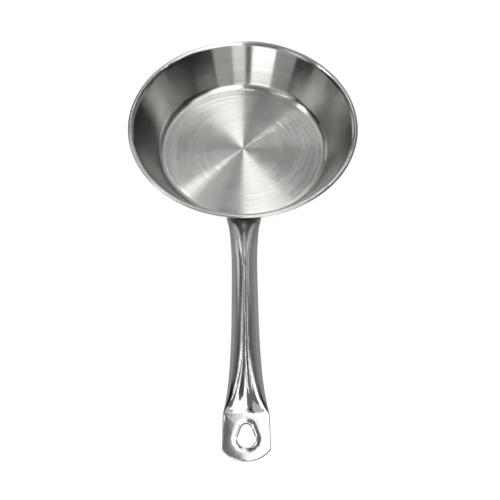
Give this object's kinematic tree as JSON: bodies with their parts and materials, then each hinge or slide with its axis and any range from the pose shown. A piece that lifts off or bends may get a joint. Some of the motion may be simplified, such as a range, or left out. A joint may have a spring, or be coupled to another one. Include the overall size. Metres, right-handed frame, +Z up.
{
  "type": "omelette pan",
  "caption": "Shallow round stainless steel frying pan with a flared lip, sandwich base and a long pressed tube handle ending in a flat tab with an egg-shaped hanging hole.",
  "frame": {"origin": "centre of the underside of the base, the face that sits on the hob", "axes": "+Z up along the bowl's axis; the handle runs along -Y; +X to the right when the handle points at the viewer"},
  "size_m": [0.24, 0.4774, 0.0838],
  "materials": {
    "brushed_bowl": "stainless sheet, spun-brushed in rings inside and out",
    "spreader_aluminium": "plain mill-finished disc",
    "base_steel": "magnetic stainless sheet, ring-brushed",
    "polished_handle": "polished tube with fine lengthwise lines",
    "bracket_steel": "dull pressed sheet",
    "weld_metal": "cleaned weld, slightly darker"
  },
  "bodies": {
    "root": {"pan_body": "brushed_bowl", "heat_spreader": "spreader_aluminium", "base_cap": "base_steel", "handle_tube": "polished_handle", "handle_bracket": "bracket_steel", "bracket_spot_welds": "weld_metal", "tongue_plug_welds": "weld_metal", "mouth_weld": "weld_metal"}
  },
  "joints": []
}
